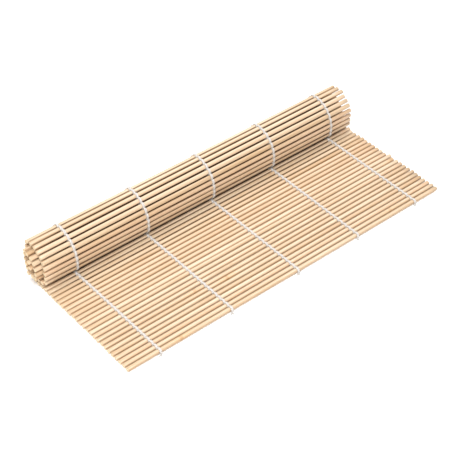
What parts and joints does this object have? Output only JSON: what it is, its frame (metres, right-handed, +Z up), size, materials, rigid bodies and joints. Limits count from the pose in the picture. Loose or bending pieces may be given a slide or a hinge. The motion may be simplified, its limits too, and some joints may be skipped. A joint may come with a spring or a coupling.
{
  "type": "sushi rolling mat",
  "caption": "Sushi rolling mat of thin bamboo slats on twined cotton strings, its front laid flat and the rest wound up into a roll at the back.",
  "frame": {"origin": "middle of the bounding box's underside, on the surface that the mat lies on", "axes": "+X along the slats, +Y from the free front edge back to the roll, +Z up"},
  "size_m": [0.2452, 0.1014, 0.0303],
  "materials": {
    "bamboo": "bare, smooth, pale",
    "cotton_string": "twined white cotton"
  },
  "bodies": {
    "root": {"slat_01": "bamboo", "slat_02": "bamboo", "slat_03": "bamboo", "slat_04": "bamboo", "slat_05": "bamboo", "slat_06": "bamboo", "slat_07": "bamboo", "slat_08": "bamboo", "slat_09": "bamboo", "slat_10": "bamboo", "slat_11": "bamboo", "slat_12": "bamboo", "slat_13": "bamboo", "slat_14": "bamboo", "slat_15": "bamboo", "slat_16": "bamboo", "slat_17": "bamboo", "slat_18": "bamboo", "slat_19": "bamboo", "slat_20": "bamboo", "slat_21": "bamboo", "slat_22": "bamboo", "slat_23": "bamboo", "slat_24": "bamboo", "slat_25": "bamboo", "slat_26": "bamboo", "slat_27": "bamboo", "slat_28": "bamboo", "slat_29": "bamboo", "slat_30": "bamboo", "slat_31": "bamboo", "slat_32": "bamboo", "slat_33": "bamboo", "slat_34": "bamboo", "slat_35": "bamboo", "slat_36": "bamboo", "slat_37": "bamboo", "slat_38": "bamboo", "slat_39": "bamboo", "slat_40": "bamboo", "slat_41": "bamboo", "slat_42": "bamboo", "slat_43": "bamboo", "slat_44": "bamboo", "slat_45": "bamboo", "slat_46": "bamboo", "slat_47": "bamboo", "slat_48": "bamboo", "inner_slats": "bamboo", "string_1": "cotton_string", "string_2": "cotton_string", "string_3": "cotton_string", "string_4": "cotton_string", "string_5": "cotton_string"}
  },
  "joints": []
}
